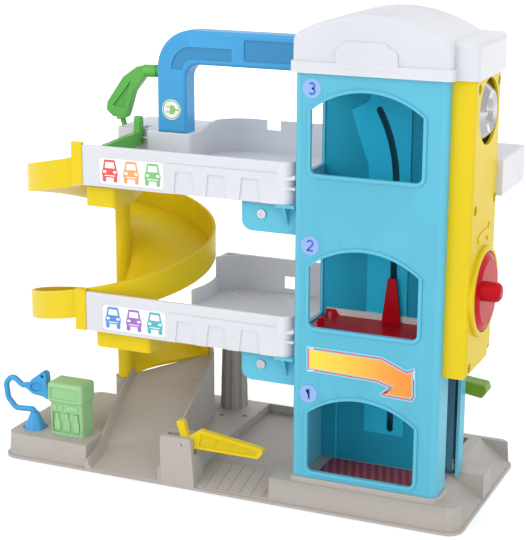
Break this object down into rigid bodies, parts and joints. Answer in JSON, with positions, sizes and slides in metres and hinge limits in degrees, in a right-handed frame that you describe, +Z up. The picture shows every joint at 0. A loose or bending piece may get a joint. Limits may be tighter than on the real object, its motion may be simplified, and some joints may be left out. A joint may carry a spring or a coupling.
{
  "type": "toy parking garage",
  "caption": "Toy parking garage with a hand-cranked lift tower, two decks, a spiral ramp, an exit slide, a fuel pump, barriers, a bell and a carrying handle.",
  "frame": {"origin": "on the ground under the middle of the garage's bounding box", "axes": "+X to the right along the front, towards the lift tower; +Y to the back; +Z up"},
  "size_m": [0.409, 0.1624, 0.3685],
  "materials": {
    "sky_blue_plastic": "gloss, moulded",
    "handle_blue_plastic": "gloss, moulded",
    "white_plastic": "gloss, moulded",
    "grey_plastic": "satin, moulded",
    "yellow_plastic": "gloss, moulded",
    "red_plastic": "gloss, moulded",
    "green_plastic": "gloss, moulded",
    "dark_steel": "plain",
    "bell_chrome": "polished",
    "belt_rubber": "matt",
    "label_paper": "printed film"
  },
  "bodies": {
    "garage": {"arrow_sticker": "label_paper", "back_lever_pin": "dark_steel", "barrier_pin": "dark_steel", "base_plate": "grey_plastic", "bell_dome": "bell_chrome", "bell_post": "white_plastic", "bell_screw": "dark_steel", "exit_chute": "grey_plastic", "exit_gate_pin": "dark_steel", "floor_mat": "label_paper", "fuel_pump": "green_plastic", "gear_housing": "yellow_plastic", "handle_back": "handle_blue_plastic", "handle_front": "handle_blue_plastic", "handle_sign": "label_paper", "housing_screws": "dark_steel", "icon_panel_mid": "label_paper", "icon_panel_upper": "label_paper", "idler_pins": "dark_steel", "lift_belt": "belt_rubber", "mid_deck": "white_plastic", "number_discs": "label_paper", "ramp_bottom": "yellow_plastic", "ramp_bracket_lower": "yellow_plastic", "ramp_bracket_upper": "yellow_plastic", "ramp_clip_lower": "yellow_plastic", "ramp_clip_upper": "yellow_plastic", "ramp_middle": "yellow_plastic", "ramp_top": "yellow_plastic", "rear_deck": "white_plastic", "rear_deck_lid": "white_plastic", "roof_cap": "white_plastic", "shaft_panel": "sky_blue_plastic", "striker_pin": "dark_steel", "support_column": "grey_plastic", "tower_back": "sky_blue_plastic", "tower_front": "sky_blue_plastic", "upper_deck": "white_plastic", "wing_bracket_lower": "sky_blue_plastic", "wing_bracket_upper": "sky_blue_plastic", "wing_screws": "dark_steel"},
    "carriage": {"lift_carriage": "white_plastic", "platform_pin": "dark_steel"},
    "platform": {"lift_platform": "red_plastic"},
    "crank": {"crank_handle": "red_plastic", "crank_shaft": "dark_steel", "crank_gear": "white_plastic"},
    "pinion": {"drive_pinion": "white_plastic"},
    "idler_bottom": {"belt_idler_bottom": "white_plastic"},
    "idler_top": {"belt_idler_top": "white_plastic"},
    "barrier": {"barrier_arm": "yellow_plastic"},
    "gate": {"exit_gate": "green_plastic"},
    "nozzle": {"pump_nozzle": "handle_blue_plastic"},
    "charger": {"charging_arm": "green_plastic"},
    "striker": {"bell_striker": "dark_steel"},
    "lever": {"back_lever": "green_plastic"}
  },
  "joints": [
    {"name": "lift_slide", "type": "slide", "parent": "garage", "child": "carriage", "axis": [0, 0, 1], "range_m": [-0.114, 0.115]},
    {"name": "platform_tilt", "type": "hinge", "parent": "carriage", "child": "platform", "pos_m": [0.06653, -0.0252, 0.1377], "axis": [0, -1, 0], "range_deg": [0, 19]},
    {"name": "crank_turn", "type": "hinge", "parent": "garage", "child": "crank", "pos_m": [0.18353, -0.0332, 0.1713], "axis": [1, 0, 0], "range_deg": [-700, 700]},
    {"name": "pinion_turn", "type": "hinge", "parent": "garage", "child": "pinion", "pos_m": [0.17153, -0.0137, 0.17909], "axis": [1, 0, 0], "range_deg": [-1400, 1400]},
    {"name": "idler_bottom_turn", "type": "hinge", "parent": "garage", "child": "idler_bottom", "pos_m": [0.16153, -0.0137, 0.0272], "axis": [1, 0, 0], "range_deg": [-1400, 1400]},
    {"name": "idler_top_turn", "type": "hinge", "parent": "garage", "child": "idler_top", "pos_m": [0.16153, -0.0137, 0.3], "axis": [1, 0, 0], "range_deg": [-1400, 1400]},
    {"name": "barrier_lift", "type": "hinge", "parent": "garage", "child": "barrier", "pos_m": [-0.03147, -0.0739, 0.036], "axis": [0, -1, 0], "range_deg": [0, 45]},
    {"name": "gate_lift", "type": "hinge", "parent": "garage", "child": "gate", "pos_m": [-0.10097, -0.0122, 0.257], "axis": [-1, 0, 0], "range_deg": [0, 75]},
    {"name": "nozzle_swivel", "type": "hinge", "parent": "garage", "child": "nozzle", "pos_m": [-0.17617, -0.0582, 0.02], "axis": [0, 0, 1], "range_deg": [-100, 100]},
    {"name": "charger_swivel", "type": "hinge", "parent": "garage", "child": "charger", "pos_m": [-0.08347, -0.0062, 0.3095], "axis": [1, 0, 0], "range_deg": [-95, 95]},
    {"name": "striker_rock", "type": "hinge", "parent": "garage", "child": "striker", "pos_m": [0.17053, -0.0097, 0.303], "axis": [1, 0, 0], "range_deg": [-3, 4], "stiffness_Nm_per_rad": 0.004},
    {"name": "lever_rock", "type": "hinge", "parent": "garage", "child": "lever", "pos_m": [0.15153, -0.0002, 0.085], "axis": [0, -1, 0], "range_deg": [-12, 12]}
  ],
  "couplings": [
    {"joint": "crank_turn", "follows": "lift_slide", "rad_per_m": 105.26},
    {"joint": "pinion_turn", "follows": "lift_slide", "rad_per_m": -210.53},
    {"joint": "idler_bottom_turn", "follows": "lift_slide", "rad_per_m": -210.53},
    {"joint": "idler_top_turn", "follows": "lift_slide", "rad_per_m": -210.53}
  ]
}
